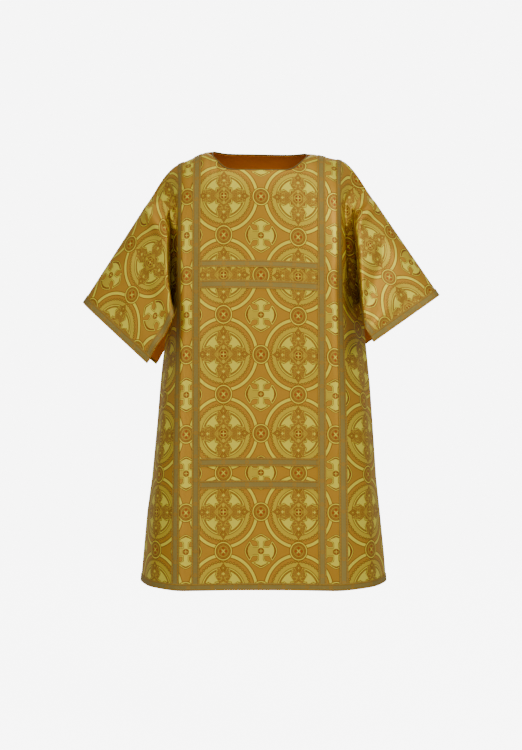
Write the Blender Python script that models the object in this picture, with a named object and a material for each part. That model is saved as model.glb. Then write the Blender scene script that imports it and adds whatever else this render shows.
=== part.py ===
"""Dalmatic as worn: two brocade body panels, two sleeves open beneath, linings, galloons and neck piping.

Metres, +Z up, the front faces -Y. The origin is on the shoulder line, midway between the neck points.
The sides are named by the wearer: side +1 is the wearer's left, towards +X.
"""
import bpy
import numpy as np

# cloth
BROCADE = 0.0016
LINING = 0.0010
BRAID = 0.0012
GAP = 0.0003
SOFT = 0.016            # reach of the rounding where a panel turns over a fold

# cut of the body, measured out from the centre and down from the neck points
NECK_HALF = 0.122
NECK_SQUARE = 0.075     # the neckline runs level as far as this, then turns up
NECK_DEPTH = {-1: 0.110, 1: 0.030}
CREST = 0.200           # where the front turns back beside the outer galloon
CLAVUS = 0.220          # outer edge of the outer galloon
ARMHOLE = 0.310
HEM_HALF = 0.395
BODY_LENGTH = 1.168
UNDERARM_DEPTH = 0.3965
BAND_DEPTHS = (0.3465, 0.3645)
SLEEVE_END = 0.647
SLEEVE_DEPTH = {"armhole": 0.330, "cuff": 0.295}
BRAID_WIDE = 0.020
PIPING = 0.0032

# worn form, one entry for each side where the sides differ
NECK_POINT = {-1: (0.122, 0.000), 1: (0.125, -0.008)}
SHOULDER = {-1: (0.228, -0.049), 1: (0.226, -0.032)}
SLEEVE_TIP = {-1: (0.447, -0.388), 1: (0.459, -0.371)}
SLEEVE_SKEW = {-1: 0.13, 1: 0.0}
SLEEVE_REACH = {-1: (0.70, 0.84), 1: (0.66, 0.785)}
RIDGE_ROUND = 0.020
RIDGE_FORWARD = 0.035
SLEEVE_LEAN = 0.45
TILT = 0.021            # how far the chest hangs off level, as a slope

# one row for each level: depth down the cloth, half depth of the tube at its front and back, crown
LEVELS = {
    "down":  (0.00, 0.40, 0.66, 0.90, 1.168),
    "front": (0.130, 0.130, 0.136, 0.148, 0.168),
    "back":  (0.118, 0.122, 0.132, 0.146, 0.165),
    "crown": (0.016, 0.014, 0.010, 0.010, 0.010),
}
# side of the tube below the underarm: height, and distance out on each side
SIDE_LINE = {
    "height": (-1.095, -1.030, -0.920, -0.835, -0.700, -0.600, -0.550, -0.450, -0.390),
    "right": (0.301, 0.295, 0.285, 0.273, 0.260, 0.252, 0.247, 0.235, 0.226),
    "left": (0.324, 0.319, 0.308, 0.299, 0.290, 0.283, 0.278, 0.268, 0.257),
}
# armhole seam, down from the shoulder: share of its length, out, forward, height
ARMHOLE_SEAM = {
    "share": (0.13, 0.28, 0.50, 0.76, 1.00),
    "right": (0.247, 0.224, 0.222, 0.223, 0.226),
    "left": (0.249, 0.233, 0.238, 0.247, 0.257),
    "forward": (0.038, 0.056, 0.048, 0.032, 0.004),
    "height": (-0.130, -0.158, -0.217, -0.302, -0.390),
}
# fold line where the sleeve turns in towards the armhole: share down, and place along the sleeve
SLEEVE_FOLD = {
    "share": (0.13, 0.48, 0.76, 1.00),
    "right": (0.270, 0.360, 0.455, 0.510),
    "left": (0.270, 0.394, 0.502, 0.600),
}
SIDE_NAME = {-1: "right", 1: "left"}
FACE_NAME = {-1: "front", 1: "back"}

BRAIDS_AT = {"inner": (0.148, 0.168), "outer": (0.200, 0.220)}
COLUMNS = (0, 0.075, 0.10, 0.114, 0.122, 0.148, 0.168, 0.20, 0.22)
OUTER_SHARES = (0.33, 0.67, 1.0)
UPPER_ROWS = (0, 0.10, 0.22, 0.36, 0.52, 0.70, 0.84, 0.935, 1.0)
BAR_DEPTHS = ((0.3465, 0.3645), (0.3965, 0.417), (0.837, 0.858), (0.893, 0.914))
LOWER_DEPTHS = (0.417, 0.500, 0.590, 0.680, 0.760, 0.837, 0.858, 0.893, 0.914, 0.985,
                1.065, 1.150, 1.168)
CUFF = (SLEEVE_END - BRAID_WIDE, SLEEVE_END)
OUTER_SLEEVE_SHARES = (0.30, 0.65)

COLOURS = {
    "brocade": (0.50, 0.24, 0.035, 1),
    "lining": (0.62, 0.22, 0.03, 1),
    "braid": (0.30, 0.22, 0.07, 1),
}


def ramp(x, low, high):
    share = np.clip((x - low) / (high - low), 0, 1)
    return share * share * (3 - 2 * share)


def ridge(side, x):
    """Shoulder line and top of the sleeve: out and height, at x along the cut."""
    neck, point, tip = (np.array(place[side]) for place in (NECK_POINT, SHOULDER, SLEEVE_TIP))
    bend = NECK_HALF + np.linalg.norm(point - neck)
    along = np.clip((x - NECK_HALF) / (bend - NECK_HALF), 0, 1)[..., None]
    beyond = np.clip((x - bend) / (SLEEVE_END - bend), 0, 1)[..., None]
    line = neck + (point - neck) * along + (tip - point) * beyond
    under_neck = np.clip(x / NECK_HALF, 0, 1)
    middle = (NECK_POINT[-1][1] + NECK_POINT[1][1]) / 2
    return line[..., 0] * under_neck, middle + (line[..., 1] - middle) * under_neck


def seam(side, face, share):
    """Armhole seam from the shoulder line to the underarm."""
    out, height = ridge(side, np.array(ARMHOLE))
    shares = (0,) + ARMHOLE_SEAM["share"]
    name = SIDE_NAME[side]
    return np.stack([
        side * np.interp(share, shares, (out,) + ARMHOLE_SEAM[name]),
        face * np.interp(share, shares, (0,) + ARMHOLE_SEAM["forward"]),
        np.interp(share, shares, (height,) + ARMHOLE_SEAM["height"]),
    ], -1)


def inner_panel(side, face, x, down):
    """Centre of a body panel, out to the crest: over the shoulder, forward, then straight down."""
    half = np.interp(down, LEVELS["down"], LEVELS[FACE_NAME[face]])
    crown = np.interp(down, LEVELS["down"], LEVELS["crown"])
    reach = half + crown * (1 - (x / CREST) ** 2)
    out, height = ridge(side, x)
    fall = np.maximum(down + height, 0)
    soft = reach / (1 + np.pi / 2)
    left_over = np.exp(-fall / soft)
    turn = np.arcsin(np.sqrt(left_over / 2))
    forward = soft * (1 + np.pi / 2 - 2 * turn - np.sin(2 * turn))
    plan = x * 0.98
    pulled = ramp(down, 0.12, 0.30) * (1 - ramp(down, 0.45, 0.80)) * (face < 0)
    return np.stack([
        side * (plan + (out - plan) * np.exp(-fall / 0.05)),
        face * forward,
        -down + soft * (1 - left_over) - TILT * side * x * pulled,
    ], -1)


def neckline(side, face, x):
    """How far down the cut the top edge of a body panel lies."""
    share = np.clip((x - NECK_SQUARE) / (NECK_HALF - NECK_SQUARE), 0, 1)
    curve = NECK_DEPTH[face] * (1 - share ** 2.2) ** (1 / 2.2)
    return np.maximum(curve, -ridge(side, x)[1])


def depth_at(side, face, x, row):
    """Row 0 is the top edge, row 1 the underarm, row 2 the hem."""
    top = neckline(side, face, x)
    first, second = BAND_DEPTHS
    upper = np.where(row < UPPER_ROWS[6], top + (first - top) * row / UPPER_ROWS[6],
                     np.interp(row, UPPER_ROWS[6:9], (first, second, UNDERARM_DEPTH)))
    return np.where(row <= 1, upper, UNDERARM_DEPTH + (BODY_LENGTH - UNDERARM_DEPTH) * (row - 1))


def side_edge(side, face, row):
    """Outer edge of a body panel: the armhole seam, then the side seam."""
    upper = seam(side, face, np.minimum(row, 1))
    height = -0.390 - (1.095 - 0.390) * np.clip(row - 1, 0, 1)
    out = np.interp(height, SIDE_LINE["height"], SIDE_LINE[SIDE_NAME[side]])
    lower = np.stack([side * out, face * np.full_like(out, GAP), height], -1)
    return np.where((row <= 1)[..., None], upper, lower)


def half_width(row):
    return np.interp(row, (0, 1, 2), (ARMHOLE, ARMHOLE, HEM_HALF))


def raw_body(side, face, x, row):
    down = depth_at(side, face, np.minimum(x, CREST), row)
    inner = inner_panel(side, face, np.minimum(x, CREST), down)
    edge = side_edge(side, face, row)
    share = np.clip((x - CREST) / (half_width(row) - CREST), 0, 1)[..., None]
    straight = (inner + edge) / 2
    shoulder = np.array([side * SHOULDER[side][0], 0, SHOULDER[side][1] + 0.012])
    top = (1 - ramp(row, 0, 0.25))[..., None]
    round_out = ramp(row, 1.0, 1.6)[..., None]
    corner = np.stack([edge[..., 0] * 0.97, inner[..., 1] * 0.72, straight[..., 2]], -1)
    control = straight + (shoulder - straight) * top + (corner - straight) * round_out
    outer = inner * (1 - share) ** 2 + 2 * control * share * (1 - share) + edge * share ** 2
    return np.where((x <= CREST)[..., None], inner, outer)


def spread(x, row):
    """Places along the cut, either side of x, that soften the turn over the crest."""
    reach = np.minimum(np.minimum(SOFT, x), np.abs(half_width(row) - x))
    return [x + step * reach for step in (-1, -0.5, 0, 0.5, 1)]


def body(side, face, x, row):
    """Body panel at x out from the centre, softened where it turns over the crest."""
    places = spread(x, row)
    return sum(raw_body(side, face, place, row) for place in places) / len(places)


def outer_sleeve(side, face, x, share):
    """Outer face of a sleeve, falling forward and in from the ridge."""
    depth = np.interp(x, (ARMHOLE, SLEEVE_END), (SLEEVE_DEPTH["armhole"], SLEEVE_DEPTH["cuff"]))
    fall = share * depth
    out, height = ridge(side, x)
    along = np.array(SLEEVE_TIP[side]) - np.array(SHOULDER[side])
    along = along / np.linalg.norm(along)
    inward = np.array([along[1], -along[0]])
    near, far = SLEEVE_REACH[side]
    reach = near + (far - near) * (x - 0.36) / (SLEEVE_END - 0.36)
    start = 1 - np.exp(-fall / RIDGE_ROUND)
    inner = reach * (fall - RIDGE_ROUND * start)
    skew = SLEEVE_SKEW[side] * fall
    forward = RIDGE_FORWARD * start + SLEEVE_LEAN * fall
    return np.stack([
        side * (out + inward[0] * inner + along[0] * skew),
        face * forward,
        height + inward[1] * inner + along[1] * skew,
    ], -1)


def fold_line(side, share):
    """Where along the cut the sleeve turns in, at a share of the way down."""
    return np.maximum(np.interp(share, SLEEVE_FOLD["share"], SLEEVE_FOLD[SIDE_NAME[side]]), 0.350)


def raw_sleeve(side, face, x, share):
    fold = fold_line(side, share)
    at_fold = outer_sleeve(side, face, fold, share)
    at_seam = seam(side, face, share)
    part = np.clip((x - ARMHOLE) / (fold - ARMHOLE), 0, 1)[..., None]
    inner = at_seam + (at_fold - at_seam) * part
    return np.where((x <= fold)[..., None], inner, outer_sleeve(side, face, x, share))


def sleeve(side, x, turn):
    """Sleeve at x along the cut; turn runs from -1 at the front under-edge to 1 at the back one."""
    face = np.where(turn <= 0, -1.0, 1.0)
    share = np.abs(turn)
    reach = np.minimum(SOFT, np.minimum(x - ARMHOLE, SLEEVE_END - x))
    total = 0
    steps = (-1, -0.5, 0, 0.5, 1)
    for step in steps:
        front = raw_sleeve(side, -1, x + step * reach, share)
        back = raw_sleeve(side, 1, x + step * reach, share)
        total = total + np.where((face < 0)[..., None], front, back)
    return total / len(steps)


def normals(points, sign):
    """Outward normals of a grid; on the line between front and back they have no forward part."""
    across = np.gradient(points, axis=0)
    down = np.gradient(points, axis=1)
    cross = np.cross(across, down) * sign
    cross[np.abs(points[..., 1]) < 2 * GAP, 1] = 0
    return cross / np.linalg.norm(cross, axis=-1, keepdims=True)


def close_wall(outer, inner):
    """Closed wall between two grids, its quads split the same way in every piece."""
    across, down = outer.shape[:2]
    index = np.arange(across * down).reshape(across, down)
    other = index + across * down
    faces = []
    for i in range(across - 1):
        for j in range(down - 1):
            a, b, c, d = index[i, j], index[i + 1, j], index[i + 1, j + 1], index[i, j + 1]
            faces += [(a, c, b), (a, d, c)]
            a, b, c, d = other[i, j], other[i + 1, j], other[i + 1, j + 1], other[i, j + 1]
            faces += [(a, b, c), (a, c, d)]
    rim = list(index[:, 0]) + list(index[-1, 1:]) + list(index[-2::-1, -1]) + list(index[0, -2:0:-1])
    shift = across * down
    for a, b in zip(rim, rim[1:] + rim[:1]):
        faces += [(a, b, b + shift), (a, b + shift, a + shift)]
    return np.concatenate([outer.reshape(-1, 3), inner.reshape(-1, 3)]), faces


def add_object(name, points, faces, material):
    mesh = bpy.data.meshes.new(name)
    mesh.from_pydata([tuple(map(float, p)) for p in points], [], [tuple(map(int, f)) for f in faces])
    mesh.update()
    volume = sum(np.dot(points[a], np.cross(points[b], points[c])) for a, b, c in faces)
    if volume < 0:
        mesh.flip_normals()
    mesh.shade_smooth()
    mesh.materials.append(materials[material])
    obj = bpy.data.objects.new(name, mesh)
    bpy.context.collection.objects.link(obj)
    return obj


def add_wall(name, points, out, low, high, material):
    """Wall between two offsets from a grid, measured along its outward normals."""
    add_object(name, *close_wall(points + out * high, points + out * low), material)


def pull_in(points, edges):
    """Draws the named edges of a grid back by the gap, so neighbours stay apart."""
    points = points.copy()
    for edge in edges:
        at, beside = {"first": ((0,), (1,)), "last": ((-1,), (-2,)),
                      "top": ((slice(None), 0), (slice(None), 1)),
                      "foot": ((slice(None), -1), (slice(None), -2))}[edge]
        step = points[beside] - points[at]
        points[at] = points[at] + step / np.linalg.norm(step, axis=-1, keepdims=True) * GAP
    return points


def body_rows():
    lower = [1 + (depth - UNDERARM_DEPTH) / (BODY_LENGTH - UNDERARM_DEPTH) for depth in LOWER_DEPTHS]
    return np.array(list(UPPER_ROWS) + lower)


def body_grid(face, rows):
    """Whole panel from one side seam to the other, seen from outside, left to right."""
    halves = []
    for side in (-1, 1):
        across = []
        for x in COLUMNS:
            across.append(body(side, face, np.full(len(rows), x), rows))
        for share in OUTER_SHARES:
            across.append(body(side, face, CLAVUS + (half_width(rows) - CLAVUS) * share, rows))
        halves.append(np.array(across))
    centre = (halves[0][:1] + halves[1][:1]) / 2
    return np.concatenate([halves[0][:0:-1], centre, halves[1][1:]])


def column(side, x):
    """Grid column of a body panel that lies at x on one side."""
    middle = len(COLUMNS) + len(OUTER_SHARES) - 1
    return middle + side * COLUMNS.index(x)


def row_at(depth):
    if depth in BAND_DEPTHS:
        return 6 + BAND_DEPTHS.index(depth)
    if depth == UNDERARM_DEPTH:
        return 8
    return 9 + LOWER_DEPTHS.index(depth)


def sleeve_grid(side):
    """Sleeve from its armhole to its cuff; the middle columns follow the fold line."""
    turns = np.array([-share for share in UPPER_ROWS[::-1]] + list(UPPER_ROWS[1:]))
    fold = fold_line(side, np.abs(turns))
    inner = [ARMHOLE + 0 * fold, (ARMHOLE + fold - SOFT) / 2]
    around = [fold - SOFT, fold, fold + SOFT]
    outer = [fold + SOFT + (CUFF[0] - fold - SOFT) * share for share in OUTER_SLEEVE_SHARES]
    cuff = [x + 0 * fold for x in CUFF]
    return np.array([sleeve(side, x, turns) for x in inner + around + outer + cuff])


def ring_tube(name, path, radius, sides, material):
    """Round bead along a closed path."""
    along = np.roll(path, -1, axis=0) - np.roll(path, 1, axis=0)
    along /= np.linalg.norm(along, axis=-1, keepdims=True)
    first = np.cross(along, path - path.mean(axis=0))
    first /= np.linalg.norm(first, axis=-1, keepdims=True)
    second = np.cross(along, first)
    angles = np.arange(sides) * 2 * np.pi / sides
    points = np.concatenate([path + radius * (np.cos(a) * first + np.sin(a) * second) for a in angles])
    count = len(path)
    faces = []
    for k in range(sides):
        for i in range(count):
            a, b = k * count + i, k * count + (i + 1) % count
            c, d = (k + 1) % sides * count + (i + 1) % count, (k + 1) % sides * count + i
            faces += [(a, b, c), (a, c, d)]
    return add_object(name, points, faces, material)


for old in list(bpy.data.objects):
    bpy.data.objects.remove(old, do_unlink=True)

materials = {}
for name, colour in COLOURS.items():
    material = bpy.data.materials.new(name)
    material.use_nodes = True
    shader = material.node_tree.nodes["Principled BSDF"]
    shader.inputs["Base Color"].default_value = colour
    shader.inputs["Roughness"].default_value = 0.45
    materials[name] = material

rows = body_rows()
neck_path = []
for face in (-1, 1):
    where = FACE_NAME[face]
    grid = body_grid(face, rows)
    out = normals(grid, face)
    panel = pull_in(grid, ("first", "last", "top"))
    add_wall("body_" + where, panel, out, -BROCADE, 0, "brocade")

    # upright galloons from the shoulder to the hem galloon
    for side in (-1, 1):
        for place, (near, far) in BRAIDS_AT.items():
            pair = sorted((column(side, near), column(side, far)))
            strip = grid[pair[0]:pair[1] + 1, :21]
            strip = pull_in(strip, ("top", "foot"))
            name = "galloon_" + place + "_" + SIDE_NAME[side] + "_" + where
            add_wall(name, strip, out[pair[0]:pair[1] + 1, :21], GAP, GAP + BRAID, "braid")

    # level galloons between the inner upright ones
    first, last = column(-1, 0.148), column(1, 0.148)
    for number, (upper, lower) in enumerate(BAR_DEPTHS, 1):
        top, foot = row_at(upper), row_at(lower)
        strip = pull_in(grid[first:last + 1, top:foot + 1], ("first", "last"))
        add_wall("crossbar_%d_%s" % (number, where), strip, out[first:last + 1, top:foot + 1],
                 GAP, GAP + BRAID, "braid")

    strip = pull_in(grid[:, 20:], ("first", "last", "top"))
    add_wall("galloon_hem_" + where, strip, out[:, 20:], GAP, GAP + BRAID, "braid")

    neck = slice(column(-1, NECK_HALF), column(1, NECK_HALF) + 1)
    edge = grid[neck, 0]
    away = np.cross(np.gradient(edge, axis=0), out[neck, 0]) * face
    away /= np.linalg.norm(away, axis=-1, keepdims=True)
    bead = edge + away * (PIPING / 2 + GAP) - out[neck, 0] * BROCADE / 2
    neck_path.append(bead if face < 0 else bead[::-1])

for side in (-1, 1):
    who = SIDE_NAME[side]
    grid = sleeve_grid(side)
    out = normals(grid, side)
    panel = pull_in(grid, ("first",))
    add_wall("sleeve_" + who, panel, out, -BROCADE, 0, "brocade")
    add_wall("lining_sleeve_" + who, panel, out, -BROCADE - 2 * GAP - LINING, -BROCADE - 2 * GAP, "lining")
    cuff = grid[-2:]
    add_wall("galloon_cuff_" + who, cuff, out[-2:], GAP, GAP + BRAID, "braid")
    under = pull_in(grid[2:-1], ("last",))
    for face, ends in ((-1, slice(0, 2)), (1, slice(-2, None))):
        add_wall("galloon_under_%s_%s" % (who, FACE_NAME[face]), under[:, ends], out[2:-1, ends],
                 GAP, GAP + BRAID, "braid")

ring = np.concatenate([neck_path[0][1:-1], neck_path[1][1:-1]])
ring_tube("neck_piping", ring, PIPING / 2, 6, "braid")
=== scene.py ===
import math

import bpy
import numpy as np
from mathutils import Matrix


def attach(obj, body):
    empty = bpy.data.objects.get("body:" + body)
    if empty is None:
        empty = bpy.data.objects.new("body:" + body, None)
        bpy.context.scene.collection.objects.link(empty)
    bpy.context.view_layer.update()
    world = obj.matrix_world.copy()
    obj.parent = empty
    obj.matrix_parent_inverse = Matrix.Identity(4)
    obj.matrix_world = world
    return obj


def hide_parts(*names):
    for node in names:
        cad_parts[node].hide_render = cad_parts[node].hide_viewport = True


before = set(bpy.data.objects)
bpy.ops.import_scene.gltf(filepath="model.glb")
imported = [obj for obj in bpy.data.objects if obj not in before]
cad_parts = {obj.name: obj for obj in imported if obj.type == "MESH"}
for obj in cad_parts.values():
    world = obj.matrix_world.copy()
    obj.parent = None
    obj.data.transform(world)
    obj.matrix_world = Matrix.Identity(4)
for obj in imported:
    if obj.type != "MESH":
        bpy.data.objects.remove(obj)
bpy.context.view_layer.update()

# ---------------------------------------------------------------------------------------------
# Body front and back. Two panels of ochre satin brocade with a woven gold figure of medallions,
# roundels and crosses, cut wide and straight, sewn at the shoulders and sides, and worn hollow.
# The form follows the cut: x runs out from the centre and down runs from the neck points.
# ---------------------------------------------------------------------------------------------
# cut of the body, measured out from the centre and down from the neck points
NECK_HALF = 0.122
NECK_SQUARE = 0.075     # the neckline runs level as far as this, then turns up
NECK_DEPTH = {-1: 0.110, 1: 0.030}
CREST = 0.200           # where the front turns back beside the outer galloon
CLAVUS = 0.220          # outer edge of the outer galloon
ARMHOLE = 0.310
HEM_HALF = 0.395
BODY_LENGTH = 1.168
UNDERARM_DEPTH = 0.3965
BAND_DEPTHS = (0.3465, 0.3645)
BAND_ROWS = (0.84, 0.935, 1.0)
SLEEVE_END = 0.647
GAP = 0.0003            # half the gap between the front and the back at a side seam
SOFT = 0.016            # reach of the rounding where a panel turns over a fold

# worn form, one entry for each side where the sides differ
NECK_POINT = {-1: (0.122, 0.000), 1: (0.125, -0.008)}
SHOULDER = {-1: (0.228, -0.049), 1: (0.226, -0.032)}
SLEEVE_TIP = {-1: (0.447, -0.388), 1: (0.459, -0.371)}
TILT = 0.021            # how far the chest hangs off level, as a slope

# one row for each level: depth down the cloth, half depth of the tube at its front and back, crown
LEVELS = {
    "down":  (0.00, 0.40, 0.66, 0.90, 1.168),
    "front": (0.130, 0.130, 0.136, 0.148, 0.168),
    "back":  (0.118, 0.122, 0.132, 0.146, 0.165),
    "crown": (0.016, 0.014, 0.010, 0.010, 0.010),
}
# side of the tube below the underarm: height, and distance out on each side
SIDE_LINE = {
    "height": (-1.095, -1.030, -0.920, -0.835, -0.700, -0.600, -0.550, -0.450, -0.390),
    "right": (0.301, 0.295, 0.285, 0.273, 0.260, 0.252, 0.247, 0.235, 0.226),
    "left": (0.324, 0.319, 0.308, 0.299, 0.290, 0.283, 0.278, 0.268, 0.257),
}
# armhole seam, down from the shoulder: share of its length, out, forward, height
ARMHOLE_SEAM = {
    "share": (0.13, 0.28, 0.50, 0.76, 1.00),
    "right": (0.247, 0.224, 0.222, 0.223, 0.226),
    "left": (0.249, 0.233, 0.238, 0.247, 0.257),
    "forward": (0.038, 0.056, 0.048, 0.032, 0.004),
    "height": (-0.130, -0.158, -0.217, -0.302, -0.390),
}
SIDE_NAME = {-1: "right", 1: "left"}
FACE_NAME = {-1: "front", 1: "back"}


def ramp(x, low, high):
    share = np.clip((x - low) / (high - low), 0, 1)
    return share * share * (3 - 2 * share)


def ridge(side, x):
    """Shoulder line and top of the sleeve: out and height, at x along the cut."""
    neck, point, tip = (np.array(place[side]) for place in (NECK_POINT, SHOULDER, SLEEVE_TIP))
    bend = NECK_HALF + np.linalg.norm(point - neck)
    along = np.clip((x - NECK_HALF) / (bend - NECK_HALF), 0, 1)[..., None]
    beyond = np.clip((x - bend) / (SLEEVE_END - bend), 0, 1)[..., None]
    line = neck + (point - neck) * along + (tip - point) * beyond
    under_neck = np.clip(x / NECK_HALF, 0, 1)
    middle = (NECK_POINT[-1][1] + NECK_POINT[1][1]) / 2
    return line[..., 0] * under_neck, middle + (line[..., 1] - middle) * under_neck


def seam(side, face, share):
    """Armhole seam from the shoulder line to the underarm."""
    out, height = ridge(side, np.array(ARMHOLE))
    shares = (0,) + ARMHOLE_SEAM["share"]
    name = SIDE_NAME[side]
    return np.stack([
        side * np.interp(share, shares, (out,) + ARMHOLE_SEAM[name]),
        face * np.interp(share, shares, (0,) + ARMHOLE_SEAM["forward"]),
        np.interp(share, shares, (height,) + ARMHOLE_SEAM["height"]),
    ], -1)


def inner_panel(side, face, x, down):
    """Centre of a body panel, out to the crest: over the shoulder, forward, then straight down."""
    half = np.interp(down, LEVELS["down"], LEVELS[FACE_NAME[face]])
    crown = np.interp(down, LEVELS["down"], LEVELS["crown"])
    reach = half + crown * (1 - (x / CREST) ** 2)
    out, height = ridge(side, x)
    fall = np.maximum(down + height, 0)
    soft = reach / (1 + np.pi / 2)
    left_over = np.exp(-fall / soft)
    turn = np.arcsin(np.sqrt(left_over / 2))
    forward = soft * (1 + np.pi / 2 - 2 * turn - np.sin(2 * turn))
    plan = x * 0.98
    pulled = ramp(down, 0.12, 0.30) * (1 - ramp(down, 0.45, 0.80)) * (face < 0)
    return np.stack([
        side * (plan + (out - plan) * np.exp(-fall / 0.05)),
        face * forward,
        -down + soft * (1 - left_over) - TILT * side * x * pulled,
    ], -1)


def neckline(side, face, x):
    """How far down the cut the top edge of a body panel lies."""
    share = np.clip((x - NECK_SQUARE) / (NECK_HALF - NECK_SQUARE), 0, 1)
    curve = NECK_DEPTH[face] * (1 - share ** 2.2) ** (1 / 2.2)
    return np.maximum(curve, -ridge(side, x)[1])


def depth_at(side, face, x, row):
    """Row 0 is the top edge, row 1 the underarm, row 2 the hem."""
    top = neckline(side, face, x)
    first, second = BAND_DEPTHS
    upper = np.where(row < BAND_ROWS[0], top + (first - top) * row / BAND_ROWS[0],
                     np.interp(row, BAND_ROWS, (first, second, UNDERARM_DEPTH)))
    return np.where(row <= 1, upper, UNDERARM_DEPTH + (BODY_LENGTH - UNDERARM_DEPTH) * (row - 1))


def side_edge(side, face, row):
    """Outer edge of a body panel: the armhole seam, then the side seam."""
    upper = seam(side, face, np.minimum(row, 1))
    height = -0.390 - (1.095 - 0.390) * np.clip(row - 1, 0, 1)
    out = np.interp(height, SIDE_LINE["height"], SIDE_LINE[SIDE_NAME[side]])
    lower = np.stack([side * out, face * np.full_like(out, GAP), height], -1)
    return np.where((row <= 1)[..., None], upper, lower)


def half_width(row):
    return np.interp(row, (0, 1, 2), (ARMHOLE, ARMHOLE, HEM_HALF))


def raw_body(side, face, x, row):
    down = depth_at(side, face, np.minimum(x, CREST), row)
    inner = inner_panel(side, face, np.minimum(x, CREST), down)
    edge = side_edge(side, face, row)
    share = np.clip((x - CREST) / (half_width(row) - CREST), 0, 1)[..., None]
    straight = (inner + edge) / 2
    shoulder = np.array([side * SHOULDER[side][0], 0, SHOULDER[side][1] + 0.012])
    top = (1 - ramp(row, 0, 0.25))[..., None]
    round_out = ramp(row, 1.0, 1.6)[..., None]
    corner = np.stack([edge[..., 0] * 0.97, inner[..., 1] * 0.72, straight[..., 2]], -1)
    control = straight + (shoulder - straight) * top + (corner - straight) * round_out
    outer = inner * (1 - share) ** 2 + 2 * control * share * (1 - share) + edge * share ** 2
    return np.where((x <= CREST)[..., None], inner, outer)


def spread(x, row):
    """Places along the cut, either side of x, that soften the turn over the crest."""
    reach = np.minimum(np.minimum(SOFT, x), np.abs(half_width(row) - x))
    return [x + step * reach for step in (-1, -0.5, 0, 0.5, 1)]


def body(side, face, x, row):
    """Body panel at x out from the centre, softened where it turns over the crest."""
    places = spread(x, row)
    return sum(raw_body(side, face, place, row) for place in places) / len(places)


BROCADE = 0.0016         # thickness

# soft folds in the body: place along the cut at the top and foot of the fold, the rows it spans,
# its half width and how far it stands out (or, below zero, sinks in)
BODY_FOLDS = {
    "side":  (-1, -1, 1, 1, -1, 1, -1, 1, -1, 1, -1, 1, -1, 1),
    "face":  (-1, -1, -1, -1, 1, 1, -1, -1, 1, 1, -1, -1, 1, 1),
    "top":   (0.262, 0.320, 0.262, 0.315, 0.250, 0.255, 0.285, 0.285, 0.285, 0.285,
              0.100, 0.110, 0.060, 0.020),
    "foot":  (0.290, 0.352, 0.282, 0.346, 0.310, 0.305, 0.275, 0.278, 0.275, 0.278,
              0.130, 0.150, 0.085, 0.050),
    "start": (1.05, 1.10, 1.02, 1.12, 0.95, 1.00, 0.12, 0.12, 0.12, 0.12, 0.90, 1.35, 1.45, 0.80),
    "end":   (2.10, 2.10, 2.10, 2.10, 2.10, 2.10, 0.90, 0.90, 0.90, 0.90, 2.10, 2.10, 2.10, 2.10),
    "width": (0.022, 0.020, 0.024, 0.020, 0.026, 0.024, 0.022, 0.022, 0.022, 0.022,
              0.040, 0.034, 0.030, 0.045),
    "out":   (0.0030, -0.0015, 0.0030, -0.0015, 0.0050, 0.0050, -0.0120, -0.0120, -0.0100, -0.0100,
              0.0045, 0.0028, -0.0030, -0.0040),
}


def body_folds(side, face, x, row):
    """How far the soft folds lift a body panel off its plain form."""
    lift = 0 * x
    for fold in zip(*BODY_FOLDS.values()):
        fold_side, fold_face, top, foot, start, end, width, out = fold
        if fold_face != face:
            continue
        line = fold_side * (top + (foot - top) * (row - start) / (end - start))
        fade = ramp(row, start - 0.10, start + 0.25) * (1 - ramp(row, end, end + 0.1))
        lift = lift + out * fade * np.exp(-((side * x - line) / width) ** 2)
    return lift


def surface_normals(points, sign):
    across = np.gradient(points, axis=0)
    down = np.gradient(points, axis=1)
    cross = np.cross(across, down) * sign
    return cross / np.maximum(np.linalg.norm(cross, axis=-1, keepdims=True), 1e-12)


def body_points(face, signed_x, row):
    """Points and outward normals of a body panel over a grid of places along its cut."""
    points = np.where((signed_x < 0)[..., None], body(-1, face, -signed_x, row),
                      body(1, face, signed_x, row))
    out = surface_normals(points, face)
    lift = np.where(signed_x < 0, body_folds(-1, face, -signed_x, row),
                    body_folds(1, face, signed_x, row))
    keep = ramp(half_width(row) - np.abs(signed_x), 0, 0.03)
    points = points + out * (lift * keep)[..., None]
    points[..., 1] -= face * GAP * (1 - keep) * (row >= 1)      # the side seams are drawn closed
    out = surface_normals(points, face)
    level = np.abs(points[..., 1]) < 0.0006
    out[level, 1] = 0
    out /= np.linalg.norm(out, axis=-1, keepdims=True)
    return points, out


def body_cut(face, signed_x, row):
    """Place of each point on the woven figure: across from the centre, and down."""
    places = spread(np.abs(signed_x), row)
    down = 0
    for x in places:
        inner = np.minimum(x, CREST)
        level = np.where(signed_x < 0, depth_at(-1, face, inner, row), depth_at(1, face, inner, row))
        down = down + level + 0.075 * (x - inner) / (ARMHOLE - CREST) * (1 - row).clip(0)
    down = down / len(places)
    off_grain = (0.0025 - 0.028 * signed_x) * (1 - ramp(down, 0.19, 0.34)) * (face < 0)
    return np.stack([signed_x, down + off_grain], -1)


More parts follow.
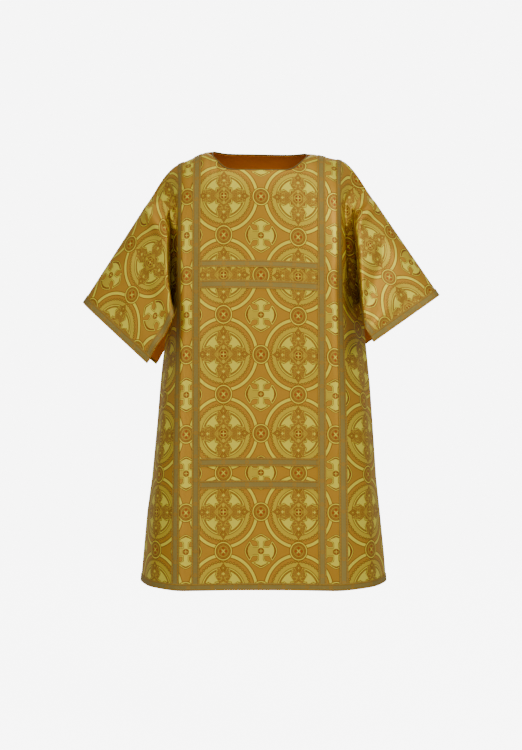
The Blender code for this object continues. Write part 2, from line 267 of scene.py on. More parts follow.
def add_cloth(name, points, out, cut, high, low, material):
    """Closed wall between two offsets from a grid of points, with its place on the cut as UVs."""
    across, down = points.shape[:2]
    index = np.arange(across * down).reshape(across, down)
    other = index + across * down
    a, b, c, d = index[:-1, :-1], index[1:, :-1], index[1:, 1:], index[:-1, 1:]
    top = np.stack([a, b, c, d], -1).reshape(-1, 4)
    a, b, c, d = other[:-1, :-1], other[1:, :-1], other[1:, 1:], other[:-1, 1:]
    foot = np.stack([a, d, c, b], -1).reshape(-1, 4)
    rim = np.concatenate([index[:, 0], index[-1, 1:], index[-2::-1, -1], index[0, -2:0:-1]])
    after = np.roll(rim, -1)
    shift = across * down
    edge = np.stack([rim, rim + shift, after + shift, after], -1)
    faces = np.concatenate([top, foot, edge])
    corners = np.concatenate([(points + out * high).reshape(-1, 3), (points + out * low).reshape(-1, 3)])
    first, second, third = (corners[top[:, k]] for k in (0, 1, 2))
    facing = np.cross(second - first, third - first)
    if (facing * out[:-1, :-1].reshape(-1, 3)).sum() < 0:
        faces = faces[:, ::-1]
    mesh = bpy.data.meshes.new(name)
    mesh.vertices.add(len(corners))
    mesh.vertices.foreach_set("co", corners.astype(np.float32).ravel())
    mesh.loops.add(faces.size)
    mesh.loops.foreach_set("vertex_index", faces.astype(np.int32).ravel())
    mesh.polygons.add(len(faces))
    mesh.polygons.foreach_set("loop_start", np.arange(0, faces.size, 4, dtype=np.int32))
    mesh.update(calc_edges=True)
    uv = mesh.uv_layers.new(name="cut")
    places = np.concatenate([cut.reshape(-1, 2)] * 2)[faces.ravel()]
    uv.data.foreach_set("uv", places.astype(np.float32).ravel())
    mesh.shade_smooth()
    mesh.set_sharp_from_angle(angle=math.radians(60))
    mesh.materials.append(material)
    piece = bpy.data.objects.new(name, mesh)
    bpy.context.scene.collection.objects.link(piece)
    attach(piece, "root")
    return piece


class Thread:
    """A number, colour or vector that varies over the cloth, so that sums read as sums."""

    def __init__(self, tree, socket):
        self.tree, self.socket = tree, socket

    def node(self, kind, settings, values, out=0):
        """Adds a node: its settings first, then the values or links of its sockets."""
        made = self.tree.nodes.new(kind)
        for name, value in settings.items():
            if name == "stops":
                ramp_stops = made.color_ramp
                ramp_stops.interpolation = "LINEAR"
                while len(ramp_stops.elements) < len(value):
                    ramp_stops.elements.new(1.0)
                for stop, (place, level) in zip(ramp_stops.elements, value):
                    stop.position = place
                    stop.color = (level, level, level, 1)
            else:
                setattr(made, name, value)
        for place, value in values.items():
            if isinstance(value, Thread):
                self.tree.links.new(value.socket, made.inputs[place])
            else:
                made.inputs[place].default_value = value
        return Thread(self.tree, made.outputs[out])

    def math(self, operation, *others, clamp=False):
        values = dict(enumerate((self,) + others))
        return self.node("ShaderNodeMath", {"operation": operation, "use_clamp": clamp}, values)

    def __add__(self, other):
        return self.math("ADD", other)

    __radd__ = __add__

    def __mul__(self, other):
        return self.math("MULTIPLY", other)

    __rmul__ = __mul__

    def __sub__(self, other):
        return self.math("SUBTRACT", other)

    def __rsub__(self, other):
        return self.math("MULTIPLY_ADD", -1.0, other)

    def __truediv__(self, other):
        return self.math("DIVIDE", other)

    def __abs__(self):
        return self.math("ABSOLUTE")

    def least(self, other):
        return self.math("MINIMUM", other)

    def most(self, other):
        return self.math("MAXIMUM", other)

    def wrap(self, pitch):
        return self.math("WRAP", pitch / 2, -pitch / 2)

    def sine(self):
        return self.math("SINE")

    def below(self, limit, soft):
        """1 where this is under the limit, 0 where it is over, softened on both sides of it."""
        return self.math("MULTIPLY_ADD", -0.5 / soft, limit * 0.5 / soft + 0.5, clamp=True)

    def near(self, middle, half, soft):
        return abs(self - middle).below(half, soft)

    def paint(self, colour, mask):
        """This colour with another laid over it where the mask is 1."""
        settings = {"data_type": "RGBA", "blend_type": "MIX"}
        return self.node("ShaderNodeMix", settings, {"Factor": mask, 6: self, 7: colour}, 2)


def distance(a, b):
    return (a * a + b * b).math("SQRT")


# the woven figure: its repeat, and the place of the first row of medallions down the cut
REPEAT_WIDE = 0.1875
REPEAT_TALL = 0.196
FIRST_ROW = 0.188
OFF_CENTRE = 0.005
MEDALLION = (0.0830, 0.0880)
ROUNDEL = (0.0216, 0.0234)
BEADS = 48
GROUND = (0.470, 0.235, 0.018, 1)
LACE = (0.360, 0.185, 0.018, 1)
FIGURE = (0.560, 0.410, 0.030, 1)
BRIGHT = (0.760, 0.660, 0.050, 1)
OUTLINE = (0.235, 0.092, 0.010, 1)
RED = (0.420, 0.075, 0.008, 1)
DARK = (0.230, 0.035, 0.006, 1)

# outlines of the cross, as half widths in millimetres against distances from its centre
CROSS_REACH = 0.0452
UPRIGHT = ((21.5, 5.0), (25.0, 7.0), (27.6, 12.0), (29.6, 15.6), (32.0, 11.6), (34.4, 6.4), (37.0, 0),
           (38.2, -3))
LEVEL = ((18.5, 8.4), (21.8, 10.0), (24.5, 14.6), (26.4, 17.2), (28.4, 14.8), (31.4, 9.6), (33.2, 0),
         (33.8, -3))
UPRIGHT_RIM = ((20.0, 9.6), (23.4, 11.8), (25.6, 18.0), (27.4, 25.8), (30.4, 24.4), (34.0, 18.4),
               (38.4, 11.6), (41.6, 6.6), (44.0, 0), (45.0, -3))
LEVEL_RIM = ((18.0, 13.0), (21.4, 15.2), (24.0, 20.4), (26.4, 25.4), (29.4, 25.2), (33.2, 20.6),
             (37.4, 13.6), (40.0, 7.4), (41.8, 0), (42.8, -3))
# inner edge of the bright leaves: distance out along the diagonal, against distance off it
LEAF = ((0.0, 0.355), (0.075, 0.300), (0.118, 0.485), (0.165, 0.500), (0.235, 0.545), (0.300, 0.72))


def start_material(name, roughness, metallic, sheen):
    material = bpy.data.materials.new(name)
    material.use_nodes = True
    tree = material.node_tree
    shader = tree.nodes["Principled BSDF"]
    shader.inputs["Roughness"].default_value = roughness
    shader.inputs["Metallic"].default_value = metallic
    shader.inputs["Sheen Weight"].default_value = sheen
    shader.inputs["Sheen Roughness"].default_value = 0.4
    shader.inputs["Sheen Tint"].default_value = (1.0, 0.72, 0.25, 1)
    shader.inputs["Specular IOR Level"].default_value = 0.35
    shader.inputs["Specular Tint"].default_value = (1.0, 0.80, 0.40, 1)
    place = tree.nodes.new("ShaderNodeUVMap")
    place.uv_map = "cut"
    parts = tree.nodes.new("ShaderNodeSeparateXYZ")
    tree.links.new(place.outputs[0], parts.inputs[0])
    return material, shader, Thread(tree, parts.outputs["X"]), Thread(tree, parts.outputs["Y"])


def give_relief(shader, height, distance_out, strength):
    bump = height.node("ShaderNodeBump", {}, {"Strength": strength, "Distance": distance_out,
                                               "Height": height})
    height.tree.links.new(bump.socket, shader.inputs["Normal"])


def drawn_in(profile, inset):
    """The outline of a cross arm moved inwards all round, in millimetres."""
    far, half = np.array(profile, float).T
    places = np.linspace(far[0], far[-1], 30)
    nudge = np.linspace(-inset, inset, 9)
    moved = np.interp(places[:, None] + nudge, far, half) - np.sqrt(np.maximum(inset ** 2 - nudge ** 2, 0))
    return [(float(place), float(level)) for place, level in zip(places, moved.min(1).clip(-3))]


def cross_field(u, v, upright, level, inset=0.0):
    """Below zero inside a cross whose arms have these half widths; u and v are from its centre."""
    edge = []
    for along, across, profile in ((v, u, upright), (u, v, level)):
        stops = tuple((far / CROSS_REACH / 1000, (half + 3) / 33)
                      for far, half in drawn_in(profile, inset))
        half = along.node("ShaderNodeValToRGB", {"stops": stops}, {0: along * (1 / CROSS_REACH)})
        edge.append(across - (half * 0.033 - 0.003))
    return edge[0].least(edge[1])


def brocade_colour(x, down):
    """The woven figure, laid layer on layer from the ground to the roundels."""
    x = x - OFF_CENTRE
    across = abs((x - REPEAT_WIDE / 2).wrap(REPEAT_WIDE))
    drop = abs((down - FIRST_ROW).wrap(REPEAT_TALL))
    a = across * (1 / MEDALLION[0])
    b = drop * (1 / MEDALLION[1])
    long = a.most(b)
    short = a.least(b)
    rim = distance(a, b)
    soft = 0.006

    # outer ring, then the wide ring with its scalloped edge and the beads along it
    colour = x.node("ShaderNodeMix", {"data_type": "RGBA"}, {"Factor": 0.0, 6: GROUND, 7: GROUND}, 2)
    colour = colour.paint(OUTLINE, rim.near(1.0, 0.069, soft))
    colour = colour.paint(BRIGHT, rim.near(1.0, 0.043, soft))
    turn = b.math("ARCTAN2", a) * (BEADS / (2 * math.pi))
    scallop = rim - abs((turn * math.pi).sine()) * 0.026
    colour = colour.paint(OUTLINE, scallop.below(0.796, soft))
    colour = colour.paint(FIGURE, scallop.below(0.776, soft))
    bead = distance(turn.wrap(1.0) * (2 * math.pi / BEADS * 0.82), rim - 0.824)
    colour = colour.paint(OUTLINE, bead.below(0.036, soft))
    colour = colour.paint(FIGURE, bead.below(0.016, soft))

    # field of small foliage, the same in each quarter
    colour = colour.paint(OUTLINE, rim.below(0.676, soft))
    place = a.node("ShaderNodeCombineXYZ", {}, {0: a, 1: b})
    foliage = a.node("ShaderNodeTexNoise", {"noise_dimensions": "2D"},
                     {"Vector": place, "Scale": 11.0, "Detail": 1.0, "Distortion": 0.8})
    field = colour.node("ShaderNodeMix", {"data_type": "RGBA"},
                        {"Factor": foliage.near(0.50, 0.028, 0.012), 6: LACE, 7: FIGURE}, 2)
    field = field.paint(OUTLINE, foliage.near(0.58, 0.022, 0.012).most(foliage.near(0.40, 0.016, 0.012)))
    colour = colour.paint(field, rim.below(0.655, soft))

    # thin arcs and bright leaves in the four corners
    corner = short.math("MULTIPLY_ADD", 40.0, long * -10.4, clamp=True)
    colour = colour.paint(BRIGHT, rim.near(0.640, 0.014, soft) * corner)
    colour = colour.paint(OUTLINE, rim.near(0.616, 0.011, soft) * corner)
    colour = colour.paint(BRIGHT, rim.near(0.598, 0.007, soft) * corner)
    aside = abs(a - b) * 0.7071
    stops = tuple((off / 0.3, out) for off, out in LEAF)
    inner_edge = aside.node("ShaderNodeValToRGB", {"stops": stops}, {0: aside * (1 / 0.3)})
    leaf = (inner_edge - (a + b) * 0.7071).most(rim - 0.575)
    colour = colour.paint(OUTLINE, leaf.below(0.068, soft) * rim.below(0.600, soft))
    colour = colour.paint(BRIGHT, leaf.below(0.048, soft) * rim.below(0.592, soft))
    colour = colour.paint(OUTLINE, leaf.below(0.026, soft))
    colour = colour.paint(BRIGHT, leaf.below(0.0, soft))

    # pointed tips, small flowers and the centre
    tip = abs(long - 0.64) * 0.75 + short
    colour = colour.paint(OUTLINE, tip.below(0.106, soft))
    colour = colour.paint(LACE, tip.below(0.082, soft))
    colour = colour.paint(OUTLINE, tip.below(0.050, soft))
    colour = colour.paint(FIGURE, tip.below(0.030, soft))
    flower = abs(long - 0.48)
    petals = (flower.least(short) - 0.012).most(flower.most(short) - 0.046)
    colour = colour.paint(BRIGHT, petals.below(0.0, soft))
    petal = abs(b - 0.19) * 0.55 + a
    colour = colour.paint(OUTLINE, petal.below(0.072, soft))
    colour = colour.paint(FIGURE, petal.below(0.050, soft))
    colour = colour.paint(FIGURE, (a + b).near(0.27, 0.012, soft) * rim.below(0.25, soft))
    colour = colour.paint(OUTLINE, rim.below(0.146, soft))
    colour = colour.paint(FIGURE, rim.below(0.124, soft))
    colour = colour.paint(LACE, rim.below(0.102, soft))
    colour = colour.paint(DARK, distance(a - 0.050, b - 0.048).below(0.028, soft))
    colour = colour.paint(BRIGHT, short.below(0.010, soft) * long.below(0.070, soft))

    # cross with flared, pointed ends; its left arm is woven in the duller gold
    u = REPEAT_WIDE / 2 - across
    v = REPEAT_TALL / 2 - drop
    fine = 0.0003
    for inset, shade in ((0.0, OUTLINE), (1.5, BRIGHT), (3.2, OUTLINE)):
        arms = cross_field(u, v, UPRIGHT_RIM, LEVEL_RIM, inset)
        colour = colour.paint(shade, arms.below(0.0, fine))
    solid = cross_field(u, v, UPRIGHT, LEVEL).below(0.0, fine)
    colour = colour.paint(BRIGHT, solid)
    left = x.wrap(REPEAT_WIDE).below(0.0, fine) * (v - u).below(0.0, fine)
    colour = colour.paint(FIGURE, solid * left)
    centre = distance(u, v)
    colour = colour.paint(OUTLINE, centre.below(0.0080, fine))
    colour = colour.paint(LACE, centre.below(0.0062, fine))
    colour = colour.paint(DARK, distance(u - 0.0028, v - 0.0028).below(0.0016, fine))
    colour = colour.paint(BRIGHT, u.least(v).below(0.0006, fine) * centre.below(0.0045, fine))

    # roundels where the medallion rings meet
    nearer = across.math("GREATER_THAN", drop * (REPEAT_WIDE / REPEAT_TALL))
    u = (across + nearer * (REPEAT_WIDE / 2 - across * 2)) * (1 / ROUNDEL[0])
    v = ((REPEAT_TALL / 2 - drop) + nearer * (drop * 2 - REPEAT_TALL / 2)) * (1 / ROUNDEL[1])
    ring = distance(u, v)
    soft = 0.02
    colour = colour.paint(OUTLINE, ring.below(1.07, soft))
    colour = colour.paint(BRIGHT, ring.below(0.98, soft))
    colour = colour.paint(OUTLINE, ring.below(0.87, soft))
    colour = colour.paint(LACE, ring.below(0.77, soft))
    colour = colour.paint(OUTLINE, ring.near(0.64, 0.030, soft))
    colour = colour.paint(FIGURE, ring.near(0.575, 0.024, soft))
    far = u.most(v)
    close = u.least(v)
    colour = colour.paint(OUTLINE, distance(far - 0.34, close).below(0.140, soft))
    colour = colour.paint(RED, distance(far - 0.34, close).below(0.095, soft))
    spokes = abs(far - close) + (far - 0.17).most(0.0)
    colour = colour.paint(BRIGHT, spokes.below(0.06, soft))
    twill = ((x + down) * (2 * math.pi / 0.0011)).sine() * 0.07 + 0.07
    return colour.paint(OUTLINE, twill)


def make_brocade():
    material, shader, x, down = start_material("brocade", 0.42, 0.38, 0.0)
    colour = brocade_colour(x, down)
    tree = x.tree
    tree.links.new(colour.socket, shader.inputs["Base Color"])
    weft = ((x + down) * (2 * math.pi / 0.0011)).sine() * 0.06
    height = colour.node("ShaderNodeRGBToBW", {}, {0: colour}) + weft
    give_relief(shader, height, 0.0005, 0.5)
    return material


brocade = make_brocade()
# places of the upright braids along the cut, and the row where the hem braid begins
BRAIDS_AT = {"inner": (0.148, 0.168), "outer": (0.200, 0.220)}
HEM_TOP = 1 + (1.150 - UNDERARM_DEPTH) / (BODY_LENGTH - UNDERARM_DEPTH)
ROWS = np.concatenate([np.linspace(0, 1, 60)[:-1], np.linspace(1, HEM_TOP, 88)[:-1],
                       np.linspace(HEM_TOP, 2, 5)])
near_neck = NECK_HALF - (NECK_HALF - NECK_SQUARE) * (1 - np.linspace(0, 1, 13)) ** 2
stops = ((NECK_HALF, 6), (BRAIDS_AT["inner"][0], 5), (BRAIDS_AT["inner"][1], 7),
         (BRAIDS_AT["outer"][0], 7), (CLAVUS, 0))
INNER_COLUMNS = np.concatenate(
    [np.linspace(0, NECK_SQUARE, 12)[:-1], near_neck[:-1]]
    + [np.linspace(start, end, count)[:-1] for (start, count), (end, _) in zip(stops, stops[1:])]
    + [[CLAVUS]])


def panel_grid(rows):
    """Places along the cut from one side of a body panel to the other, for each row."""
    outer = np.linspace(0, 1, 26)[1:, None]
    inner = np.repeat(INNER_COLUMNS[:, None], len(rows), 1)
    half = np.concatenate([inner, CLAVUS + (half_width(rows)[None] - CLAVUS) * outer])
    x = np.concatenate([-half[:0:-1], half])
    return x, np.repeat(rows[None], len(x), 0)


panels = {}
for face in (-1, 1):
    where = FACE_NAME[face]
    x, row = panel_grid(ROWS)
    points, out = body_points(face, x, row)
    panels[face] = (points, out, body_cut(face, x, row))
    piece = add_cloth("body_panel_" + where, *panels[face], 0, -BROCADE, brocade)
    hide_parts("body_" + where)

# ---------------------------------------------------------------------------------------------
# Sleeves. One brocade piece each, folded over the arm, sewn into the armhole and left open
# beneath, so that it hangs from the arm like a short cape with its corner lowest.
# ---------------------------------------------------------------------------------------------
# how the sleeve hangs, one entry for each side where the sides differ
SLEEVE_DEPTH = {"armhole": 0.330, "cuff": 0.295}
SLEEVE_SKEW = {-1: 0.13, 1: 0.0}
SLEEVE_REACH = {-1: (0.70, 0.84), 1: (0.66, 0.785)}
RIDGE_ROUND = 0.020
RIDGE_FORWARD = 0.035
SLEEVE_LEAN = 0.45
# fold line where the sleeve turns in towards the armhole: share down, and place along the sleeve
SLEEVE_FOLD = {
    "share": (0.13, 0.48, 0.76, 1.00),
    "right": (0.270, 0.360, 0.455, 0.510),
    "left": (0.270, 0.394, 0.502, 0.600),
}

# soft folds in the sleeves, given as in the body but with shares of the way down instead of rows
SLEEVE_FOLDS = {
    "side":  (-1, -1, -1, -1, 1, 1, 1, 1),
    "top":   (0.352, 0.300, 0.430, 0.560, 0.350, 0.300, 0.420, 0.560),
    "foot":  (0.400, 0.440, 0.560, 0.600, 0.400, 0.440, 0.590, 0.610),
    "start": (0.03, 0.10, 0.25, 0.40, 0.03, 0.10, 0.25, 0.40),
    "end":   (0.40, 0.95, 1.20, 1.20, 0.40, 0.95, 1.20, 1.20),
    "width": (0.017, 0.020, 0.028, 0.022, 0.017, 0.020, 0.028, 0.022),
    "out":   (0.0085, -0.0040, -0.0055, 0.0030, 0.0085, -0.0040, -0.0060, 0.0035),
}


def outer_sleeve(side, face, x, share):
    """Outer face of a sleeve, falling forward and in from the ridge."""
    depth = np.interp(x, (ARMHOLE, SLEEVE_END), (SLEEVE_DEPTH["armhole"], SLEEVE_DEPTH["cuff"]))
    fall = share * depth
    out, height = ridge(side, x)
    along = np.array(SLEEVE_TIP[side]) - np.array(SHOULDER[side])
    along = along / np.linalg.norm(along)
    inward = np.array([along[1], -along[0]])
    near, far = SLEEVE_REACH[side]
    reach = near + (far - near) * (x - 0.36) / (SLEEVE_END - 0.36)
    start = 1 - np.exp(-fall / RIDGE_ROUND)
    inner = reach * (fall - RIDGE_ROUND * start)
    skew = SLEEVE_SKEW[side] * fall
    forward = RIDGE_FORWARD * start + SLEEVE_LEAN * fall
    return np.stack([
        side * (out + inward[0] * inner + along[0] * skew),
        face * forward,
        height + inward[1] * inner + along[1] * skew,
    ], -1)


def fold_line(side, share):
    """Where along the cut the sleeve turns in, at a share of the way down."""
    return np.maximum(np.interp(share, SLEEVE_FOLD["share"], SLEEVE_FOLD[SIDE_NAME[side]]), 0.350)


def raw_sleeve(side, face, x, share):
    fold = fold_line(side, share)
    at_fold = outer_sleeve(side, face, fold, share)
    at_seam = seam(side, face, share)
    part = np.clip((x - ARMHOLE) / (fold - ARMHOLE), 0, 1)[..., None]
    inner = at_seam + (at_fold - at_seam) * part
    return np.where((x <= fold)[..., None], inner, outer_sleeve(side, face, x, share))


def sleeve(side, x, turn):
    """Sleeve at x along the cut; turn runs from -1 at the front under-edge to 1 at the back one."""
    face = np.where(turn <= 0, -1.0, 1.0)
    share = np.abs(turn)
    reach = np.minimum(SOFT, np.minimum(x - ARMHOLE, SLEEVE_END - x))
    total = 0
    steps = (-1, -0.5, 0, 0.5, 1)
    for step in steps:
        front = raw_sleeve(side, -1, x + step * reach, share)
        back = raw_sleeve(side, 1, x + step * reach, share)
        total = total + np.where((face < 0)[..., None], front, back)
    return total / len(steps)


def sleeve_points(side, x, turn):
    """Points and outward normals of a sleeve over a grid of places along its cut."""
    points = sleeve(side, x, turn)
    out = surface_normals(points, side)
    lift = 0 * x
    share = np.abs(turn)
    for fold_side, top, foot, start, end, width, height in zip(*SLEEVE_FOLDS.values()):
        if fold_side == side:
            fade = ramp(share, start - 0.03, start + 0.12) * (1 - ramp(share, end, end + 0.2))
            line = top + (foot - top) * share
            lift = lift + height * fade * np.exp(-((x - line) / width) ** 2)
    points = points + out * (lift * ramp(x, ARMHOLE, ARMHOLE + 0.03))[..., None]
    return points, surface_normals(points, side)


# where each sleeve was cut from the figured cloth: further along it, and further over the arm
SLEEVE_CUT = {-1: (0.0137, 0.0375), 1: (0.0330, 0.0495)}


def sleeve_cut(side, x, turn):
    """Place on the woven figure; the cloth sits a little further back over the arm than the fold."""
    depth = np.interp(x, (ARMHOLE, SLEEVE_END), (SLEEVE_DEPTH["armhole"], SLEEVE_DEPTH["cuff"]))
    share = np.abs(turn)
    from_seam = 0.06 * (1 - ramp(x, ARMHOLE, ARMHOLE + 0.09)) * (1 - share)
    along, over = SLEEVE_CUT[side]
    down = np.where(turn <= 0, share * depth + over, share * depth - over) + from_seam
    return np.stack([side * (x + along), down], -1)


def sleeve_columns(side, turns):
    """Places along the cut for each row, crowded where the sleeve turns in."""
    fold = fold_line(side, np.abs(turns))[None]
    inner = np.linspace(0, 1, 20)[:, None]
    outer = np.linspace(0, 1, 44)[1:, None]
    return np.concatenate([ARMHOLE + (fold - ARMHOLE) * inner, fold + (SLEEVE_END - fold) * outer])


TURNS = np.concatenate([-np.linspace(1, 0, 60) ** 1.4, (np.linspace(0, 1, 60) ** 1.4)[1:]])
sleeves = {}
for side in (-1, 1):
    x = sleeve_columns(side, TURNS)
    turn = np.repeat(TURNS[None], len(x), 0)
    points, out = sleeve_points(side, x, turn)
    sleeves[side] = (points, out, sleeve_cut(side, x, turn))
    piece = add_cloth("sleeve_cloth_" + SIDE_NAME[side], *sleeves[side], 0, -BROCADE, brocade)
    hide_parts("sleeve_" + SIDE_NAME[side])

# ---------------------------------------------------------------------------------------------
# Linings. Plain orange satin behind the sleeves and the body, caught in the same seams. The
# body's shows only through the neck and the hem.
# ---------------------------------------------------------------------------------------------
LINING = 0.0010


def make_lining():
    material, shader, x, down = start_material("lining", 0.45, 0.1, 0.05)
    place = x.node("ShaderNodeCombineXYZ", {}, {0: x * 60.0, 1: down * 900.0})
    slub = x.node("ShaderNodeTexNoise", {"noise_dimensions": "2D"}, {"Vector": place, "Detail": 3.0})
    colour = slub.node("ShaderNodeMix", {"data_type": "RGBA"},
                       {"Factor": slub, 6: (0.60, 0.165, 0.010, 1), 7: (0.78, 0.24, 0.015, 1)}, 2)
    x.tree.links.new(colour.socket, shader.inputs["Base Color"])
    give_relief(shader, (down * 7000.0).sine() * 0.3 + slub, 0.0002, 0.4)
    return material


lining = make_lining()
for face in (-1, 1):
    points, out, cut = panels[face]
    piece = add_cloth("body_lining_" + FACE_NAME[face], points[::2, ::2], out[::2, ::2], cut[::2, ::2],
                      -BROCADE - 0.0009, -BROCADE - 0.0009 - LINING, lining)
for side in (-1, 1):
    points, out, cut = sleeves[side]
    piece = add_cloth("sleeve_lining_cloth_" + SIDE_NAME[side], points[::3, ::2], out[::3, ::2],
                      cut[::3, ::2], -BROCADE - 0.0006, -BROCADE - 0.0006 - LINING, lining)
    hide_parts("lining_sleeve_" + SIDE_NAME[side])

# ---------------------------------------------------------------------------------------------
# Galloons. Ribbed olive-gold braid 20 mm wide, laid flat on the brocade and stitched down both
# edges: uprights over the shoulders, level bands between them, the hem, the cuffs and the
# open under-edges of the sleeves.
# ---------------------------------------------------------------------------------------------
BRAID_WIDE = 0.020
BRAID_THICK = 0.0012
BRAID_CLEAR = 0.0003
MOTIF_PITCH = 0.058


def make_braid():
    """Braid whose UVs run across it, from -0.5 to 0.5 of its width, and along it in metres."""
    material, shader, across, along = start_material("braid", 0.50, 0.35, 0.0)
    side_step = abs(across)
    rib = (along * (2 * math.pi / 0.0016)).sine()
    shade, light = (0.200, 0.140, 0.030, 1), (0.320, 0.240, 0.062, 1)
    colour = across.node("ShaderNodeMix", {"data_type": "RGBA"},
                         {"Factor": rib * 0.35 + 0.5, 6: shade, 7: light}, 2)
    colour = colour.paint((0.190, 0.105, 0.014, 1), side_step.near(0.285, 0.020, 0.01))
    edge = side_step.near(0.460, 0.034, 0.01)
    colour = colour.paint((0.330, 0.220, 0.040, 1), edge)
    stitch = (along * (1 / 0.0036)).wrap(1.0)
    dots = side_step.near(0.365, 0.060, 0.02) * abs(stitch).below(0.27, 0.08)
    colour = colour.paint((0.170, 0.090, 0.012, 1), side_step.near(0.365, 0.060, 0.02) * 0.6)
    colour = colour.paint((0.500, 0.235, 0.012, 1), dots)
    step = abs(along.wrap(MOTIF_PITCH)) * (1 / 0.020)
    lozenge = step.most(side_step) + step.least(side_step) * 0.6
    colour = colour.paint((0.420, 0.190, 0.012, 1), lozenge.near(0.215, 0.036, 0.012))
    colour = colour.paint((0.450, 0.200, 0.015, 1), (step + side_step).below(0.070, 0.015))
    across.tree.links.new(colour.socket, shader.inputs["Base Color"])
    give_relief(shader, rib * 0.4 + dots * 0.8 + edge * 0.7, 0.0004, 0.6)
    return material


braid = make_braid()


def braid_places(count, along):
    """UVs of a strip: its place across the braid and its length along it."""
    across = np.linspace(-0.5, 0.5, count)
    return np.stack(np.broadcast_arrays(across[:, None], along), -1)


def run_along(points):
    """Length along the middle of a strip, row by row."""
    middle = points[len(points) // 2]
    steps = np.linalg.norm(np.diff(middle, axis=0), axis=-1)
    return np.concatenate([[0], np.cumsum(steps)])


def add_braid(name, points, out, node):
    """Lays a strip of braid on the piece under it; the strip's second index runs along it."""
    along = run_along(points)
    cut = braid_places(len(points), along[None])
    piece = add_cloth(name, points, out, cut, BRAID_CLEAR + BRAID_THICK, BRAID_CLEAR, braid)
    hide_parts(node)
    return piece


def row_of(depth):
    return 1 + (depth - UNDERARM_DEPTH) / (BODY_LENGTH - UNDERARM_DEPTH)


for face in (-1, 1):
    points, out, cut = panels[face]
    columns = cut[:, 80, 0]
    for side in (-1, 1):
        for place, (near, far) in BRAIDS_AT.items():
            span = (side * columns > near - 0.0001) & (side * columns < far + 0.0001)
            rows = slice(0, int(np.argmin(np.abs(ROWS - HEM_TOP))) + 1)
            name = "%s_%s_%s" % (place, SIDE_NAME[side], FACE_NAME[face])
            add_braid("braid_" + name, points[span, rows], out[span, rows], "galloon_" + name)

# level bands: depths of the upper and lower edge of each, down the cut
BANDS = {
    "upper": (0.3465, 0.3965, 0.837, 0.893),
    "lower": (0.3645, 0.417, 0.858, 0.914),
}
for face in (-1, 1):
    for number, (upper, lower) in enumerate(zip(*BANDS.values()), 1):
        depths = np.linspace(upper, lower, 7)
        rows = np.where(depths < UNDERARM_DEPTH, np.interp(depths, (*BAND_DEPTHS, UNDERARM_DEPTH),
                                                           BAND_ROWS), row_of(depths))
        x = np.repeat(np.linspace(-0.1476, 0.1476, 90)[:, None], 7, 1)
        points, out = body_points(face, x, np.repeat(rows[None], 90, 0))
        add_braid("band_%d_%s" % (number, FACE_NAME[face]), points.swapaxes(0, 1), out.swapaxes(0, 1),
                  "crossbar_%d_%s" % (number, FACE_NAME[face]))

    points, out, cut = panels[face]
    rows = slice(int(np.argmin(np.abs(ROWS - HEM_TOP))), None)
    add_braid("braid_hem_" + FACE_NAME[face], points[:, rows].swapaxes(0, 1),
              out[:, rows].swapaxes(0, 1), "galloon_hem_" + FACE_NAME[face])

# cuffs, then the under-edges, whose ends butt against the cuff braid
for side in (-1, 1):
    who = SIDE_NAME[side]
    turns = np.concatenate([-np.linspace(1, 0, 70) ** 1.2, (np.linspace(0, 1, 70) ** 1.2)[1:]])
    x = np.repeat(np.linspace(SLEEVE_END - BRAID_WIDE, SLEEVE_END, 7)[:, None], len(turns), 1)
    points, out = sleeve_points(side, x, np.repeat(turns[None], 7, 0))
    add_braid("braid_cuff_" + who, points, out, "galloon_cuff_" + who)
    for face in (-1, 1):
        columns = np.linspace(0.375, SLEEVE_END - BRAID_WIDE - 0.0003, 60)
        turns = np.sort(face * np.linspace(0.935, 1.0, 7))
        points, out = sleeve_points(side, np.repeat(columns[:, None], 7, 1),
                                    np.repeat(turns[None], 60, 0))
        name = "under_%s_%s" % (who, FACE_NAME[face])
        add_braid("braid_" + name, points.swapaxes(0, 1), out.swapaxes(0, 1), "galloon_" + name)

# ---------------------------------------------------------------------------------------------
# Neck piping. A thin olive-grey cord bound into the neck seam all round.
# ---------------------------------------------------------------------------------------------
PIPING = 0.0032


def make_piping():
    material, shader, across, along = start_material("piping", 0.60, 0.2, 0.0)
    twist = (along * 900.0 + across * 6.0).sine()
    shade, light = (0.120, 0.080, 0.020, 1), (0.230, 0.160, 0.045, 1)
    colour = twist.node("ShaderNodeMix", {"data_type": "RGBA"},
                        {"Factor": twist * 0.5 + 0.5, 6: shade, 7: light}, 2)
    across.tree.links.new(colour.socket, shader.inputs["Base Color"])
    give_relief(shader, twist, 0.0003, 0.6)
    return material


piping = make_piping()
paths = []
for face in (-1, 1):
    points, out, cut = panels[face]
    middle = len(points) // 2
    reach = int(np.argmin(np.abs(INNER_COLUMNS - NECK_HALF)))
    span = slice(middle - reach, middle + reach + 1)
    edge = points[span, 0]
    away = np.cross(np.gradient(edge, axis=0), out[span, 0]) * face
    away /= np.linalg.norm(away, axis=-1, keepdims=True)
    bead = edge + away * (PIPING / 2 + 0.0002) - out[span, 0] * BROCADE / 2
    paths.append(bead if face < 0 else bead[::-1])
ring = np.concatenate([paths[0][1:-1], paths[1][1:-1]])
for _ in range(4):
    ring = (np.roll(ring, 1, axis=0) + 2 * ring + np.roll(ring, -1, axis=0)) / 4
curve = bpy.data.curves.new("neck_cord", "CURVE")
curve.dimensions = "3D"
spline = curve.splines.new("POLY")
spline.points.add(len(ring) - 1)
for point, place in zip(spline.points, ring):
    point.co = (*place, 1)
spline.use_cyclic_u = True
curve.bevel_depth = PIPING / 2
curve.bevel_resolution = 4
shape = bpy.data.objects.new("neck_cord_shape", curve)
bpy.context.scene.collection.objects.link(shape)
bpy.context.view_layer.update()
mesh = bpy.data.meshes.new_from_object(shape.evaluated_get(bpy.context.evaluated_depsgraph_get()))
bpy.data.objects.remove(shape)
cord = bpy.data.objects.new("neck_cord", mesh)
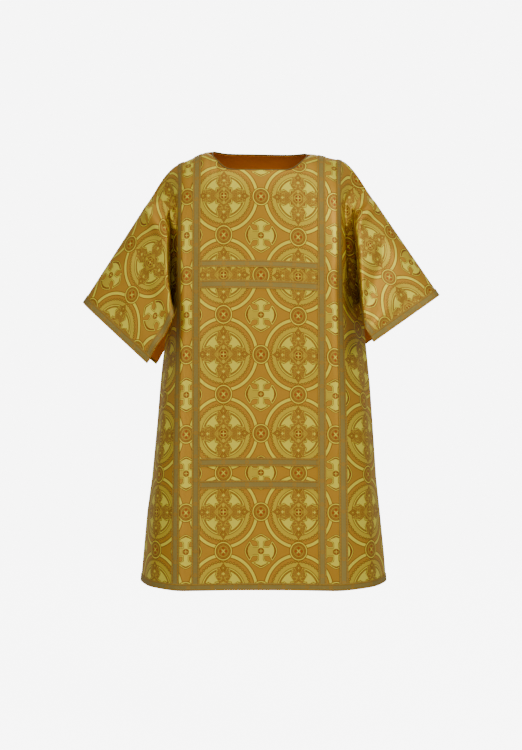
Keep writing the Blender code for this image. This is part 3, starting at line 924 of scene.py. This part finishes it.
bpy.context.scene.collection.objects.link(cord)
mesh.materials.clear()
mesh.materials.append(piping)
mesh.shade_smooth()
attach(cord, "root")
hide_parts("neck_piping")

# ---------------------------------------------------------------------------------------------
# Studio. A round pale floor that sweeps up into a wall on all sides, soft lights, and a level
# camera four metres in front.
# ---------------------------------------------------------------------------------------------
FLOOR_HEIGHT = -1.50
WALL_OUT = 7.0
SWEEP = 1.5
profile = [(0.001, FLOOR_HEIGHT)]
for step in range(17):
    angle = math.pi / 2 * step / 16
    profile.append((WALL_OUT - SWEEP * (1 - math.sin(angle)),
                    FLOOR_HEIGHT + SWEEP * (1 - math.cos(angle))))
profile.append((WALL_OUT, 8.0))
spokes, count = 64, len(profile)
corners = []
for turn in range(spokes):
    angle = 2 * math.pi * turn / spokes
    corners += [(out * math.cos(angle), out * math.sin(angle), height) for out, height in profile]
quads = [(turn * count + i, (turn + 1) % spokes * count + i, (turn + 1) % spokes * count + i + 1,
          turn * count + i + 1) for turn in range(spokes) for i in range(count - 1)]
mesh = bpy.data.meshes.new("studio_floor")
mesh.from_pydata(corners, [], quads)
mesh.shade_smooth()
floor = bpy.data.objects.new("studio_floor", mesh)
bpy.context.scene.collection.objects.link(floor)
paper = bpy.data.materials.new("studio_paper")
paper.use_nodes = True
shader = paper.node_tree.nodes["Principled BSDF"]
shader.inputs["Base Color"].default_value = (0.86, 0.86, 0.86, 1)
shader.inputs["Roughness"].default_value = 0.9
shader.inputs["Emission Color"].default_value = (1, 1, 1, 1)
shader.inputs["Emission Strength"].default_value = 7.0
mesh.materials.append(paper)
floor.visible_diffuse = False
floor.visible_glossy = False
floor.visible_shadow = False

world = bpy.data.worlds.new("studio")
bpy.context.scene.world = world
world.use_nodes = True
world.node_tree.nodes["Background"].inputs[0].default_value = (1.0, 1.0, 1.0, 1)
world.node_tree.nodes["Background"].inputs[1].default_value = 0.40

LIGHTS = {
    "name":   ("key", "fill", "top", "front", "back"),
    "x":      (2.4, -2.4, 0.0, 0.2, 0.0),
    "y":      (-2.8, -3.0, -1.0, -4.4, 3.6),
    "z":      (1.2, 0.2, 2.4, -0.3, 1.4),
    "size":   (1.4, 2.2, 2.0, 1.6, 2.0),
    "energy": (81.0, 38.0, 22.0, 14.0, 30.0),
    "green":  (1.0, 1.0, 1.0, 0.78, 1.0),
    "blue":   (1.0, 1.0, 1.0, 0.55, 1.0),
}
for name, x, y, z, size, energy, green, blue in zip(*LIGHTS.values()):
    lamp = bpy.data.lights.new(name, "AREA")
    lamp.color = (1.0, green, blue)
    lamp.size = size
    lamp.energy = energy
    lit = bpy.data.objects.new(name, lamp)
    lit.location = (x, y, z)
    towards = np.array([0, 0, -0.55]) - np.array([x, y, z])
    yaw = math.atan2(towards[1], towards[0]) - math.pi / 2
    pitch = math.acos(-towards[2] / np.linalg.norm(towards))
    lit.rotation_euler = (pitch, 0, yaw)
    bpy.context.scene.collection.objects.link(lit)

CAMERA_DISTANCE = 4.0
eye = bpy.data.cameras.new("camera")
eye.sensor_width = 36.0
eye.lens = 36.0 * CAMERA_DISTANCE / 1.9125
camera = bpy.data.objects.new("camera", eye)
camera.location = (0.005, -CAMERA_DISTANCE, -0.574)
camera.rotation_euler = (math.pi / 2, 0, 0)
bpy.context.scene.collection.objects.link(camera)
bpy.context.scene.camera = camera
